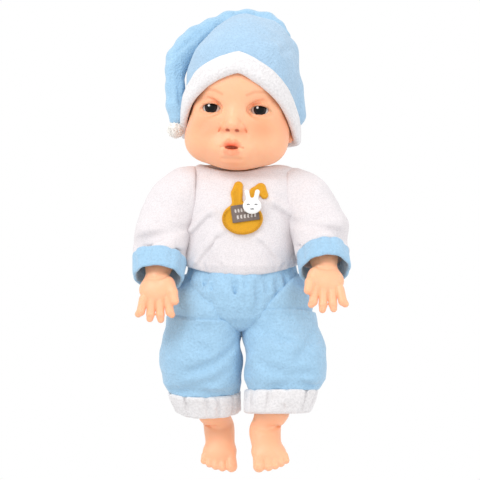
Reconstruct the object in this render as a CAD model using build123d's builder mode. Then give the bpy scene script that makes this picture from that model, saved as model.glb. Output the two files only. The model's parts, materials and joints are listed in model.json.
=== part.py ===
from build123d import *
import os

# Interactive baby doll in a stocking cap and a two-tone romper, in millimetres.
# Origin: the middle of the waist. +X is the doll's left, -Y the way it faces, +Z up.
# Arms, legs and their clothes are drawn once for the doll's left side, swung about
# their joint to the resting angle of each side, and mirrored for the right side.

# ---------------------------------------------------------------- driving dimensions
torso_width = 70.0
torso_depth = 57.0
torso_top = 64.0
torso_bottom = -36.0
shell_wall = 2.2

head_width = 74.0
head_depth = 91.0
head_height = 105.0
head_wall = 3.0
head_roll = 3.5
head_turn = -7.0
head_shift = -2.5

neck_y = 2.0
neck_ring_z = 74.0
neck_ring_thickness = 4.0
neck_hole_radius = 10.0

shoulder_z = 48.0
shoulder_x = 34.0
shoulder_radius = 13.0
armhole_x = 39.2
armhole_radius = 21.0
arm_swing = {"left": 5.0, "right": -4.0}

hip_x = 22.0
hip_z = -20.0
hip_tilt = 45.0
leg_swing = {"left": 10.0, "right": -8.0}
foot_pitch = 43.0
foot_half_width = 12.0

plug_stem_radius = 5.0
plug_flange_radius = 8.0
plug_disc_thickness = 2.5
vinyl_wall = 2.2

cloth = 2.2
cloth_stand = 1.6
brim_height = 10.0
cap_stand = 1.2

button_radius = 9.0
button_z = 10.0
board_width = 44.0
board_height = 32.0
board_y = -9.0
board_thickness = 1.6
speaker_radius = 14.0
speaker_z = 37.0
cell_radius = 5.8
cell_height = 5.4
cell_count = 3
battery_z = -2.0
lead_radius = 0.6

# ------------------------------------------------------------------------ clearances
running_gap = 0.3
joint_gap = 0.5
seat_gap = 0.15
door_gap = 0.3

# ---------------------------------------------------------------- worked-out places
torso_height = torso_top - torso_bottom
shoulder_axis = Axis((shoulder_x, 0, shoulder_z), (-1, 0, 0))
hip_plane = Plane(origin=(hip_x, -1, hip_z), x_dir=(0, 1, 0), z_dir=Vector(1, 0, 0).rotate(Axis.Y, hip_tilt))
hip_axis = Axis(hip_plane.origin, hip_plane.z_dir * -1)
head_place = Location((head_shift, neck_y, neck_ring_z - 2), (0, head_roll, head_turn))
battery_box_wall = 1.4
battery_bay_width = cell_count * (2 * cell_radius + 1.0) + 1.0
battery_bay_height = 2 * cell_radius + 2.0
battery_bay_depth = cell_height + 1.2


# --------------------------------------------------------------------------- helpers
os.makedirs("parts", exist_ok=True)


def save(shape, label):
    shape.label = label
    export_step(shape, f"parts/{label}.step")


def station(centre, along, deep, across):
    """A slice of a limb: its middle, the way the limb runs, its half-sizes, across never under deep."""
    run = Vector(along).normalized()
    fore_aft = Vector(0, 1, 0) - run * run.Y
    return Plane(origin=centre, x_dir=fore_aft.cross(run), z_dir=run), deep, across


def skin_through(stations, grow=0.0, reach=0.0):
    """A smooth solid through elliptical slices; reach pushes its two ends outwards."""
    with BuildPart() as skin:
        for index, (plane, deep, across) in enumerate(stations):
            push = {0: -reach, len(stations) - 1: reach}.get(index, 0.0)
            with BuildSketch(plane.offset(push)):
                Ellipse(across + grow, deep + grow)
        loft()
    return skin.part


def tube_through(stations, wall):
    """The same smooth form as an open sleeve with the given wall."""
    with BuildPart() as tube:
        add(skin_through(stations))
        add(skin_through(stations, -wall, 1.0), mode=Mode.SUBTRACT)
    return tube.part


def egg(centre, radii):
    """An ellipsoid."""
    with BuildPart() as blob:
        Sphere(1)
        scale(by=tuple(float(radius) for radius in radii))
    return blob.part.moved(Location(centre))


def ball(centre, radius):
    """A plain sphere."""
    with BuildPart() as globe:
        with Locations(centre):
            Sphere(radius)
    return globe.part


def rod(start, end, radius):
    """A finger-like bar with two round ends."""
    direction = Vector(end) - Vector(start)
    with BuildPart() as bar:
        with BuildSketch(Plane(origin=start, z_dir=direction)):
            Circle(radius)
        extrude(amount=direction.length)
        with Locations(start, end):
            Sphere(radius)
    return bar.part


def disc(plane, radius, start, end):
    """A round plate between two offsets from a plane."""
    with BuildPart() as plate:
        with BuildSketch(plane.offset(start)):
            Circle(radius)
        extrude(amount=end - start)
    return plate.part


def wire(points, radii, radius):
    """A lead along straight runs joined by arcs."""
    with BuildPart() as lead:
        with BuildLine() as route:
            FilletPolyline(*points, radius=radii)
        with BuildSketch(Plane(origin=route.line @ 0, z_dir=route.line % 0)):
            Circle(radius)
        sweep()
    return lead.part


def both_sides(name, solid, axis, swing):
    """Writes the left piece and its mirrored twin, each at its own resting swing."""
    save(solid.rotate(axis, swing["left"]), f"left_{name}")
    save(mirror(solid.rotate(axis, swing["right"]), about=Plane.YZ), f"right_{name}")


# ----------------------------------------------------------------------- torso forms
# Each level: share of the torso's height, of its half width and of its half depth.
torso_levels = [
    (0.00, 0.37, 0.46),
    (0.10, 0.69, 0.76),
    (0.24, 0.93, 0.95),
    (0.40, 1.00, 1.00),
    (0.58, 0.985, 0.965),
    (0.76, 0.94, 0.86),
    (0.90, 0.83, 0.72),
    (1.00, 0.57, 0.56),
]
# The bodice stands wider than the torso at the shoulders. Its levels count from the waist.
bodice_levels = [
    (-0.02, 1.00, 1.00),
    (0.14, 1.00, 1.00),
    (0.31, 1.00, 0.98),
    (0.65, 1.03, 0.86),
    (0.87, 1.04, 0.74),
    (1.00, 0.95, 0.60),
    (1.08, 0.84, 0.42),
    (1.115, 0.66, 0.20),
]


def stacked(levels, base, height, grow, lift=0.0):
    """A smooth solid through level ellipses, grown by the same amount all round."""
    with BuildPart() as stack:
        for share, wide, deep in levels:
            rise = base - lift + share * (height + 2 * lift)
            with BuildSketch(Plane.XY.offset(rise)):
                Ellipse(wide * torso_width / 2 + grow, deep * torso_depth / 2 + grow)
        loft()
    return stack.part


def torso_form(grow, hip_trim, boss_reach):
    """The torso as a solid: body, two shoulder bosses, flat slanted hips."""
    with BuildPart() as form:
        add(stacked(torso_levels, torso_bottom, torso_height, grow, grow))
        with BuildSketch(Plane.YZ.offset(-boss_reach)):
            with Locations((0, shoulder_z)):
                Circle(shoulder_radius + grow)
        extrude(amount=2 * boss_reach)
        split(bisect_by=hip_plane.offset(-hip_trim), keep=Keep.BOTTOM)
        right_hip = Plane(
            origin=(-hip_x, -1, hip_z), x_dir=(0, 1, 0), z_dir=Vector(-1, 0, 0).rotate(Axis.Y, -hip_tilt)
        )
        split(bisect_by=right_hip.offset(-hip_trim), keep=Keep.BOTTOM)
    return form.part


def seat_form(grow):
    """Romper seat: the torso grown, below the waist, ending at both leg seams."""
    with BuildPart() as form:
        add(torso_form(grow, running_gap, 1.0))
        split(bisect_by=Plane.XY, keep=Keep.BOTTOM)
    return form.part


def bodice_form(grow, stub_end):
    """Romper bodice: a bell from the waist to the shoulders with two armhole stubs."""
    with BuildPart() as form:
        add(stacked(bodice_levels, 0, torso_top, grow))
        with BuildSketch(Plane.YZ.offset(-stub_end)):
            with Locations((0, shoulder_z)):
                Circle(armhole_radius - cloth_stand - cloth + grow)
        extrude(amount=2 * stub_end)
        split(bisect_by=Plane.YZ.offset(stub_end), keep=Keep.BOTTOM)
        split(bisect_by=Plane.YZ.offset(-stub_end), keep=Keep.TOP)
    return form.part


def torso_front_y(height_z):
    """How far forward the torso's front stands at a height near the belly."""
    share = (height_z - torso_bottom) / torso_height
    low, high = torso_levels[3], torso_levels[4]
    mix = (share - low[0]) / (high[0] - low[0])
    return -(low[2] + mix * (high[2] - low[2])) * torso_depth / 2


belly_y = torso_front_y(button_z)
button_face_y = belly_y - 0.8
flange_front_y = belly_y + shell_wall + 2.6
stem_end_y = board_y - board_thickness - 7.5

# ---------------------------------------------------------------------------- torso
with BuildPart() as torso_hollow:
    add(torso_form(0, running_gap, shoulder_x - joint_gap))
    add(torso_form(-shell_wall, running_gap + shell_wall, shoulder_x - joint_gap - shell_wall), mode=Mode.SUBTRACT)
    # round sockets for the shoulder plugs
    with BuildSketch(Plane.YZ.offset(-shoulder_x)):
        with Locations((0, shoulder_z)):
            Circle(plug_stem_radius + running_gap)
    extrude(amount=2 * shoulder_x, mode=Mode.SUBTRACT)
    # round sockets for the slanted hip plugs
    hip_bore = disc(hip_plane, plug_stem_radius + running_gap, -2 * shell_wall, 1.0)
    add(hip_bore, mode=Mode.SUBTRACT)
    add(mirror(hip_bore, about=Plane.YZ), mode=Mode.SUBTRACT)

screw_places = [(torso_width * 0.33, 27.0), (-torso_width * 0.33, 27.0), (14.0, 56.0), (-14.0, 56.0)]
post_radius = 3.2
screw_radius = 1.1
screw_head_radius = 2.2
screw_head_height = 1.6
post_front_y = -6.0
screw_head_y = 12.0


def post(place, radius, start, end):
    """A round post along Y at an (x, z) place."""
    with BuildPart() as column:
        with BuildSketch(Plane(origin=(place[0], start, place[1]), x_dir=(1, 0, 0), z_dir=(0, 1, 0))):
            Circle(radius)
        extrude(amount=end - start)
    return column.part


board_posts = [(board_width * 0.41, button_z - 12.0), (-board_width * 0.41, button_z - 12.0)]
torso_inside = torso_form(-shell_wall * 0.5, running_gap + shell_wall, 1.0)

with BuildPart() as torso_front_shell:
    add(split(torso_hollow.part, bisect_by=Plane.XZ, keep=Keep.TOP))
    # screw posts and board posts rise from the inside of the front wall
    for place in screw_places:
        add(post(place, post_radius, -torso_depth / 2, -seat_gap) & torso_inside)
        add(post(place, screw_radius - 0.1, post_front_y, 0), mode=Mode.SUBTRACT)
    for place in board_posts:
        add(post(place, 2.6, -torso_depth / 2, board_y - board_thickness) & torso_inside)
        add(post(place, 0.8, board_y - board_thickness - 5, board_y), mode=Mode.SUBTRACT)
    # the belly button's hole
    add(post((0, button_z), button_radius + running_gap, belly_y - 3, belly_y + 5), mode=Mode.SUBTRACT)


door_width = battery_bay_width - 2.0
door_height = battery_bay_height + 4.0


def door_block(grow):
    """The upright block that the battery door is cut with."""
    with BuildPart() as block:
        with Locations((0, torso_depth / 2, battery_z)):
            Box(door_width + 2 * grow, torso_depth * 0.5, door_height + 2 * grow)
    return block.part


door_screw_place = (0, battery_z + door_height / 2 - 2.8)
door_screw_head = 2.0
door_screw_seat = torso_depth / 2 - 1.0

with BuildPart() as torso_back_shell:
    add(split(torso_hollow.part, bisect_by=Plane.XZ, keep=Keep.BOTTOM))
    for place in screw_places:
        add(post(place, post_radius, 0, torso_depth / 2) & torso_inside)
        add(post(place, screw_radius + 0.2, 0, torso_depth / 2), mode=Mode.SUBTRACT)
        add(post(place, screw_head_radius + 0.2, screw_head_y, torso_depth / 2), mode=Mode.SUBTRACT)
    # grille holes for the speaker
    with BuildSketch(Plane.XZ.offset(-torso_depth)) as grille:
        with Locations((0, speaker_z)):
            Circle(1.0)
            with PolarLocations(4.0, 6):
                Circle(1.0)
            with PolarLocations(8.0, 12):
                Circle(1.0)
    extrude(amount=torso_depth * 0.8, mode=Mode.SUBTRACT)
    add(door_block(door_gap), mode=Mode.SUBTRACT)

with BuildPart() as battery_door:
    add(torso_form(0, running_gap, 1.0))
    add(torso_form(-shell_wall, running_gap + shell_wall, 1.0), mode=Mode.SUBTRACT)
    add(door_block(0), mode=Mode.INTERSECT)
    add(post(door_screw_place, screw_radius + 0.2, 0, torso_depth), mode=Mode.SUBTRACT)
    add(post(door_screw_place, door_screw_head + 0.2, door_screw_seat, torso_depth), mode=Mode.SUBTRACT)

with BuildPart() as torso_screws:
    for place in screw_places:
        add(post(place, screw_radius - 0.1 - running_gap / 2, post_front_y + 0.5, screw_head_y + 0.1))
        add(post(place, screw_head_radius, screw_head_y + 0.1, screw_head_y + 0.1 + screw_head_height))

# Neck plug: a foot clamped in the torso's top, a groove that the head's neck ring turns in.
plug_waist = neck_hole_radius - running_gap
plug_rim = neck_hole_radius + 3.0
with BuildPart() as neck_plug:
    with BuildSketch(Plane.XZ) as plug_profile:
        with BuildLine():
            Polyline(
                (0, torso_top + seat_gap),
                (plug_rim, torso_top + seat_gap),
                (plug_rim, neck_ring_z - running_gap),
                (plug_waist, neck_ring_z - running_gap),
                (plug_waist, neck_ring_z + neck_ring_thickness + running_gap),
                (plug_rim - 1, neck_ring_z + neck_ring_thickness + running_gap),
                (plug_rim - 2, neck_ring_z + neck_ring_thickness + 3),
                (0, neck_ring_z + neck_ring_thickness + 3),
                close=True,
            )
        make_face()
    revolve(axis=Axis.Z)
neck_plug_solid = neck_plug.part.moved(Location((0, neck_y, 0)))

save(torso_front_shell.part, "torso_front_shell")
save(torso_back_shell.part, "torso_back_shell")
save(torso_screws.part, "torso_screws")
save(neck_plug_solid, "neck_plug")
save(battery_door.part, "battery_door")

# --------------------------------------------------------------------- sound module
board_back_y = board_y
board_front_y = board_y - board_thickness

with BuildPart() as circuit_board:
    with Locations((0, board_y - board_thickness / 2, button_z - 2)):
        Box(board_width, board_thickness, board_height)
    for place in board_posts:
        add(post(place, 1.0, board_front_y - 1, board_back_y + 1), mode=Mode.SUBTRACT)

with BuildPart() as sound_chip:
    with BuildSketch(Plane.XZ.offset(-board_back_y)):
        with Locations((-9, button_z + 3)):
            Circle(5.5)
    extrude(amount=-1.8)
    fillet(sound_chip.edges().filter_by(GeomType.CIRCLE).sort_by(Axis.Y)[-1], 1.2)

with BuildPart() as board_parts:
    for x in (4.0, 10.0, 16.0):
        with Locations((x, board_back_y + 1.0, button_z + 4)):
            Box(3.2, 2.0, 1.8)
    for x in (5.0, 14.0):
        add(post((x, button_z - 3), 2.4, board_back_y, board_back_y + 5.0))

switch_size = 6.0
switch_height = 3.5
with BuildPart() as key_switch:
    with Locations((0, board_front_y - switch_height / 2, button_z)):
        Box(switch_size, switch_height, switch_size)
    add(post((0, button_z), 1.7, board_front_y - switch_height - 1.4, board_front_y - switch_height))

with BuildPart() as board_screws:
    for place in board_posts:
        add(post(place, 0.65, board_front_y - 4.5, board_back_y))
        add(post(place, 1.6, board_back_y, board_back_y + 1.2))

with BuildPart() as sound_button:
    add(post((0, button_z), button_radius, button_face_y, flange_front_y))
    fillet(sound_button.edges().sort_by(Axis.Y)[0], 1.0)
    add(post((0, button_z), button_radius + 2.0, flange_front_y, flange_front_y + 1.4))
    add(post((0, button_z), 2.0, flange_front_y + 1.4, stem_end_y))

# Rubber return dome: a hollow cone between the button's flange and the board.
dome_front_y = flange_front_y + 1.4
with BuildPart() as return_dome:
    with BuildSketch(Plane.XY.offset(button_z)):
        with BuildLine():
            Polyline(
                (4.0, dome_front_y),
                (5.2, dome_front_y),
                (7.6, board_front_y - 1.0),
                (8.8, board_front_y - 1.0),
                (8.8, board_front_y),
                (6.2, board_front_y),
                (4.0, dome_front_y + 2.0),
                close=True,
            )
        make_face()
    revolve(axis=Axis((0, 0, button_z), (0, 1, 0)))

# Speaker: dish, cone and magnet, facing the grille in the back shell.
speaker_front_y = torso_depth * 0.5 * 0.63
speaker_profile_drop = 6.0
speaker_plane = Plane(origin=(0, speaker_front_y, speaker_z), x_dir=(1, 0, 0), z_dir=(0, 1, 0))
with BuildPart() as speaker_frame:
    add(disc(speaker_plane, speaker_radius, -2.0, 0))
    add(disc(speaker_plane, speaker_radius - 3.0, -speaker_profile_drop, -2.0))
    add(disc(speaker_plane, speaker_radius - 1.5, -1.0, 0), mode=Mode.SUBTRACT)
    add(disc(speaker_plane, speaker_radius - 4.2, -speaker_profile_drop + 1.0, 0), mode=Mode.SUBTRACT)

with BuildPart() as speaker_cone:
    with BuildSketch(speaker_plane.offset(-0.9)):
        Circle(speaker_radius - 1.8)
    with BuildSketch(speaker_plane.offset(-4.4)):
        Circle(3.2)
    loft()
    with BuildSketch(speaker_plane.offset(-0.4)):
        Circle(speaker_radius - 2.6)
    with BuildSketch(speaker_plane.offset(-3.8)):
        Circle(2.8)
    loft(mode=Mode.SUBTRACT)
    add(skin_through([(speaker_plane.offset(-3), speaker_radius - 4.5, speaker_radius - 4.5),
                      (speaker_plane.offset(-0.95), speaker_radius - 4.5, speaker_radius - 4.5)]),
        mode=Mode.INTERSECT)

with BuildPart() as speaker_magnet:
    add(disc(speaker_plane, 6.5, -speaker_profile_drop - 4.5, -speaker_profile_drop))

battery_front_y = 7.0
battery_back_y = battery_front_y + battery_box_wall + battery_bay_depth
with BuildPart() as battery_box:
    with Locations((0, (battery_front_y + battery_back_y) / 2, battery_z)):
        Box(
            battery_bay_width + 2 * battery_box_wall,
            battery_back_y - battery_front_y,
            battery_bay_height + 2 * battery_box_wall,
        )
    with Locations((0, (battery_front_y + battery_back_y + battery_box_wall) / 2, battery_z)):
        Box(battery_bay_width, battery_back_y - battery_front_y - battery_box_wall, battery_bay_height,
            mode=Mode.SUBTRACT)
    # a boss for the door's screw, above the bay
    add(post(door_screw_place, 2.6, battery_back_y - 0.5, torso_depth / 2 - shell_wall - 3.5) )
    add(post(door_screw_place, screw_radius - 0.2, battery_back_y - 0.5, torso_depth / 2), mode=Mode.SUBTRACT)

cell_pitch = 2 * cell_radius + 1.0
cell_places = [((index - (cell_count - 1) / 2) * cell_pitch, battery_z) for index in range(cell_count)]
cell_start_y = battery_front_y + battery_box_wall + 0.5
with BuildPart() as battery_cells:
    for place in cell_places:
        add(post(place, cell_radius, cell_start_y, cell_start_y + cell_height))

with BuildPart() as battery_contacts:
    for x, z in cell_places:
        with Locations((x, cell_start_y - 0.25, z)):
            Box(6.0, 0.3, 4.0)

with BuildPart() as door_screw:
    add(post(door_screw_place, screw_radius - 0.35, battery_back_y + 1.0, door_screw_seat))
    add(post(door_screw_place, door_screw_head, door_screw_seat, torso_depth / 2 + 0.2))

lead_gap = 2.0
with BuildPart() as speaker_leads:
    for x in (-lead_gap, lead_gap):
        add(wire(
            [
                (x, speaker_front_y - speaker_profile_drop, speaker_z - 8.5),
                (x, speaker_front_y - speaker_profile_drop - 6.0, speaker_z - 8.5),
                (x, board_back_y + 7.0, button_z + 10.0),
                (x, board_back_y, button_z + 10.0),
            ],
            [4.0, 4.0],
            lead_radius,
        ))

with BuildPart() as battery_leads:
    for x in (-lead_gap, lead_gap):
        add(wire(
            [
                (x, battery_front_y, battery_z + 4.0),
                (x, battery_front_y - 5.0, battery_z + 4.0),
                (x, board_back_y + 6.0, battery_z - 4.0),
                (x, board_back_y, battery_z - 4.0),
            ],
            [3.0, 3.0],
            lead_radius,
        ))

save(circuit_board.part, "circuit_board")
save(sound_chip.part, "sound_chip")
save(board_parts.part, "board_parts")
save(key_switch.part, "key_switch")
save(board_screws.part, "board_screws")
save(sound_button.part, "sound_button")
save(return_dome.part, "return_dome")
save(speaker_frame.part, "speaker_frame")
save(speaker_cone.part, "speaker_cone")
save(speaker_magnet.part, "speaker_magnet")
save(battery_box.part, "battery_box")
save(battery_cells.part, "battery_cells")
save(battery_contacts.part, "battery_contacts")
save(door_screw.part, "door_screw")
save(speaker_leads.part, "speaker_leads")
save(battery_leads.part, "battery_leads")

# ----------------------------------------------------------------------------- head
# Drawn upright and facing -Y from a point under the chin, then given its resting tilt.
skull_z = head_height * 0.59
face_z = head_height * 0.29
eye_x = head_width * 0.229
eye_z = head_height * 0.405
eye_y = -head_depth * 0.285
eye_radius = 8.0
iris_radius = 5.2
cap_side = head_width / 2 + cap_stand + cloth
cap_back = head_depth / 2 + cap_stand + cloth


def head_form(grow):
    """Skull and cheeks as one smooth mass, without its small features."""
    with BuildPart() as form:
        add(egg((0, 3, skull_z), (head_width / 2 + grow, head_depth / 2 + grow, head_height * 0.41 + grow)))
        add(egg((0, -8, face_z), (head_width * 0.49 + grow, head_depth * 0.35 + grow, face_z * 0.9 + grow)))
    return form.part


with BuildPart() as head_mass:
    add(head_form(0))
    add(egg((0, -22, 12.5), (15, 16, 12.5)))
    add(egg((0, -39, face_z), (6, 7, 5)))
    for x in (-head_width * 0.465, head_width * 0.465):
        add(egg((x, 5, head_height * 0.35), (3.5, 8, 11)))
    add(head_form(-head_wall), mode=Mode.SUBTRACT)
    for x in (-eye_x, eye_x):
        add(ball((x, eye_y, eye_z), eye_radius + running_gap), mode=Mode.SUBTRACT)

neck_ring_plane = Plane(origin=(0, neck_y, neck_ring_z))
with BuildPart() as head_shell:
    add(head_mass.part.moved(head_place))
    add(disc(neck_ring_plane, neck_hole_radius + 4.5, -1.0, 14.0), mode=Mode.SUBTRACT)
    add(disc(neck_ring_plane, neck_hole_radius + 4.6, 0, neck_ring_thickness))
    add(disc(neck_ring_plane, neck_hole_radius, -1.0, neck_ring_thickness + 1), mode=Mode.SUBTRACT)
save(head_shell.part, "head_shell")

for side, x in (("left", eye_x), ("right", -eye_x)):
    globe = ball((x, eye_y, eye_z), eye_radius)
    front = Plane(origin=(x, eye_y, eye_z), x_dir=(1, 0, 0), z_dir=(0, -1, 0))
    iris_seat = eye_radius * 0.74
    with BuildPart() as eye_white:
        add(split(globe, bisect_by=front.offset(iris_seat), keep=Keep.BOTTOM))
        split(bisect_by=front.offset(-2.0), keep=Keep.TOP)
    with BuildPart() as iris:
        add(disc(front, iris_radius, iris_seat, iris_seat + 0.4))
    with BuildPart() as eye_lens:
        add(split(globe, bisect_by=front.offset(iris_seat + 0.4), keep=Keep.TOP))
    save(eye_white.part.moved(head_place), f"{side}_eye_white")
    save(iris.part.moved(head_place), f"{side}_iris")
    save(eye_lens.part.moved(head_place), f"{side}_eye_lens")

# ------------------------------------------------------------------------------ cap
# The opening is a slanted plane from the forehead over the ears, level at the nape.
brow_z = head_height * 0.55
brow_y = -head_depth * 0.45
cap_slant = 41.0
nape_z = 24.0
brow_plane = Plane(origin=(0, brow_y, brow_z), z_dir=Vector(0, 0, 1).rotate(Axis.X, -cap_slant))


def cap_form(grow):
    """The cap's outer form: straight sides below, an egg-shaped crown above."""
    with BuildPart() as form:
        with BuildSketch(Plane.XY.offset(nape_z - 10)):
            with Locations((0, 3)):
                Ellipse(cap_side + grow, cap_back + grow)
        extrude(amount=skull_z + 2 - nape_z + 10)
        crown_half = head_height * 0.41 + cap_stand + cloth + grow
        add(egg((0, 3, skull_z + 2), (cap_side + grow, cap_back + grow, crown_half)))
    return form.part


def cap_above(rise):
    """The cap's cloth above its opening, the opening moved up by rise."""
    with BuildPart() as form:
        add(cap_form(0))
        add(cap_form(-cloth), mode=Mode.SUBTRACT)
        split(bisect_by=brow_plane.offset(rise), keep=Keep.TOP)
        split(bisect_by=Plane.XY.offset(nape_z + rise), keep=Keep.TOP)
    return form.part


with BuildPart() as cap_crown:
    add(cap_above(brim_height))

with BuildPart() as cap_brim:
    add(cap_above(0))
    add(cap_crown.part, mode=Mode.SUBTRACT)

pompom_radius = 6.2
pompom_place = (-cap_side - 6.7, -2.0, 27.0)
tail_path = [
    station((30, 32, skull_z + 30), (-1, 0.3, 0.5), 5.0, 7.0),
    station((10, 34, skull_z + 43), (-1, 0, 0.15), 5.5, 8.5),
    station((-14, 33, skull_z + 42), (-1, -0.25, -0.3), 6.0, 8.5),
    station((-37, 24, skull_z + 25), (-0.6, -0.5, -0.8), 7.0, 7.5),
    station((-cap_side - 6.5, 12, skull_z + 1), (-0.1, -0.4, -1), 6.3, 6.5),
    station((-cap_side - 6.5, 4, skull_z - 17), (0.1, -0.25, -1), 5.6, 5.8),
    station((-cap_side - 4.0, -1, skull_z - 29), (0.1, -0.15, -1), 4.0, 4.2),
]
with BuildPart() as cap_tail:
    add(skin_through(tail_path))
    add(cap_form(0.25), mode=Mode.SUBTRACT)
    add(ball(pompom_place, pompom_radius + 0.1), mode=Mode.SUBTRACT)

save(cap_crown.part.moved(head_place), "cap_crown")
save(cap_brim.part.moved(head_place), "cap_brim")
save(cap_tail.part.moved(head_place), "cap_tail")
save(ball(pompom_place, pompom_radius).moved(head_place), "cap_pompom")

# ----------------------------------------------------------------------------- arms
arm_path = [
    station((shoulder_x, 0, shoulder_z), (1, 0, 0), shoulder_radius, shoulder_radius),
    station((45, -3, 44), (0.75, -0.3, -0.6), 11.5, 11.5),
    station((53.5, -13, 28), (0.35, -0.5, -0.8), 11.0, 11.0),
    station((57, -27, 10), (0.1, -0.6, -0.79), 10.0, 10.0),
    station((58, -36, -2), (0, -0.6, -0.8), 8.0, 10.0),
]
palm_path = [
    station((58, -34, 1), (0, -0.6, -0.8), 7.0, 9.0),
    station((58, -41, -8), (0, -0.55, -0.83), 8.0, 12.5),
    station((58, -45.5, -15), (0, -0.5, -0.87), 6.5, 12.0),
    station((58, -47.5, -19), (0, -0.5, -0.87), 4.0, 10.5),
]
sleeve_path = [
    station((armhole_x + joint_gap, 0, shoulder_z), (1, 0, 0), armhole_radius, armhole_radius),
    station((49, -4, 42), (0.75, -0.3, -0.6), 20.0, 20.0),
    station((55, -14, 26), (0.3, -0.5, -0.8), 19.0, 19.0),
    station((57, -24, 11.5), (0.1, -0.6, -0.79), 18.2, 18.2),
]
cuff_path = [
    station((57, -24, 11.5), (0.1, -0.6, -0.79), 18.2, 18.2),
    station((57.6, -32.5, 0.5), (0.05, -0.6, -0.79), 18.0, 18.0),
]
sleeve_clear = Plane.YZ.offset(armhole_x + joint_gap)

with BuildPart() as arm:
    add(skin_through(arm_path))
    add(skin_through(palm_path))
    # four fingers curled a little towards the palm, and the thumb on the inner side
    for index, (x, drop) in enumerate([(50.5, -21.5), (55.8, -24), (61, -23.5), (66, -21)]):
        add(rod((x, -46, -14), (x, -46 + index * 0.3, drop), 3.2))
    add(rod((48, -43, -7), (45.5, -49, -13), 3.4))
    add(skin_through(arm_path[:4], -vinyl_wall, 0.5), mode=Mode.SUBTRACT)

plug_plane = Plane(origin=(shoulder_x, 0, shoulder_z), x_dir=(0, 1, 0), z_dir=(1, 0, 0))


def limb_plug(plane, seat_radius):
    """A plug that closes a limb's open end and clips through its socket in the torso."""
    with BuildPart() as plug:
        add(disc(plane, seat_radius, 0.1, plug_disc_thickness))
        inside = -joint_gap - shell_wall - running_gap
        add(disc(plane, plug_stem_radius, inside - 0.1, 0.2))
        add(disc(plane, plug_flange_radius, inside - 1.6, inside))
    return plug.part


both_sides("arm", arm.part, shoulder_axis, arm_swing)
both_sides("shoulder_plug", limb_plug(plug_plane, shoulder_radius - vinyl_wall - 2.0), shoulder_axis, arm_swing)
both_sides(
    "sleeve", split(tube_through(sleeve_path, cloth), bisect_by=sleeve_clear, keep=Keep.TOP), shoulder_axis, arm_swing
)
both_sides(
    "cuff", split(tube_through(cuff_path, cloth + 0.6), bisect_by=sleeve_clear, keep=Keep.TOP), shoulder_axis, arm_swing
)

# ----------------------------------------------------------------------------- legs
hip_out = hip_plane.z_dir
hip_seat = hip_plane.origin + hip_out * running_gap
foot_run = Vector(0, -1, 0).rotate(Axis.X, foot_pitch)
sole_out = Vector(0, 0, -1).rotate(Axis.X, foot_pitch)
ankle = Vector(15.5, -5, -113)
leg_start = hip_plane.origin - hip_out
leg_path = [
    station(tuple(leg_start), tuple(hip_out), 18.7, 18.7),
    station((26.5, -8, -34), (0.35, -0.4, -0.85), 17.5, 17.5),
    station((29, -15, -54), (0.0, -0.1, -1), 16.0, 16.5),
    station((26, -13, -76), (-0.25, 0.2, -0.95), 14.0, 14.5),
    station((20.5, -8, -97), (-0.28, 0.2, -0.94), 12.5, 13.5),
    station((16.5, -5, -111), (-0.2, 0.0, -1), 11.0, 11.5),
]
foot_path = [
    station(tuple(ankle + foot_run * -4), tuple(foot_run), 11.0, foot_half_width - 1),
    station(tuple(ankle + foot_run * 9), tuple(foot_run), 9.0, foot_half_width),
    station(tuple(ankle + foot_run * 20), tuple(foot_run), 6.0, foot_half_width + 0.5),
    station(tuple(ankle + foot_run * 25), tuple(foot_run), 4.5, foot_half_width - 0.5),
]
sole_plane = Plane(origin=ankle + foot_run * 9 + sole_out * 7.0, z_dir=sole_out)
trouser_path = [
    station(tuple(leg_start), tuple(hip_out), 26.3, 26.3),
    station((27, -8, -37), (0.35, -0.35, -0.87), 25.5, 26.5),
    station((29.5, -15, -55), (0.05, -0.1, -0.99), 24.5, 27.5),
    station((29, -14, -70), (-0.1, 0.15, -0.98), 23.0, 26.0),
    station((27, -11, -83), (-0.15, 0.15, -0.97), 21.0, 23.5),
]
ankle_cuff_path = [
    station((27, -11, -83), (-0.15, 0.15, -0.97), 21.0, 23.5),
    station((24.5, -9, -97.5), (-0.2, 0.15, -0.96), 20.0, 22.0),
]
leg_clear = hip_plane.offset(running_gap)

with BuildPart() as leg:
    add(skin_through(leg_path))
    add(skin_through(leg_path[:4], -vinyl_wall, 0.5), mode=Mode.SUBTRACT)
    split(bisect_by=leg_clear, keep=Keep.TOP)
    add(ball(tuple(ankle), 11.2))
    add(skin_through(foot_path))
    toe_row = ankle + foot_run * 24
    for across, size in ((-7.6, 4.2), (-1.4, 3.2), (3.4, 3.0), (7.6, 2.8), (11.0, 2.5)):
        tip = toe_row + Vector(across, 0, 0) + foot_run * (5.2 - abs(across + 3) * 0.25)
        add(rod(tuple(toe_row + Vector(across, 0, 0)), tuple(tip), size))
    split(bisect_by=sole_plane, keep=Keep.BOTTOM)

hip_plug_plane = Plane(origin=hip_seat, x_dir=(0, 1, 0), z_dir=hip_out)
both_sides("leg", leg.part, hip_axis, leg_swing)
both_sides("hip_plug", limb_plug(hip_plug_plane, 13.0), hip_axis, leg_swing)
both_sides(
    "trouser_leg", split(tube_through(trouser_path, cloth), bisect_by=leg_clear, keep=Keep.TOP), hip_axis, leg_swing
)
both_sides("ankle_cuff", tube_through(ankle_cuff_path, cloth + 0.4), hip_axis, leg_swing)

# --------------------------------------------------------------------------- romper
outer_stand = cloth_stand + cloth

with BuildPart() as bodice:
    add(bodice_form(outer_stand, armhole_x))
    add(bodice_form(cloth_stand, armhole_x + 1), mode=Mode.SUBTRACT)
    add(disc(Plane.XY.offset(torso_top), neck_hole_radius + 8.0, -10, 20).moved(Location((0, neck_y, 0))),
        mode=Mode.SUBTRACT)
    split(bisect_by=Plane.XY, keep=Keep.TOP)

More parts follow.
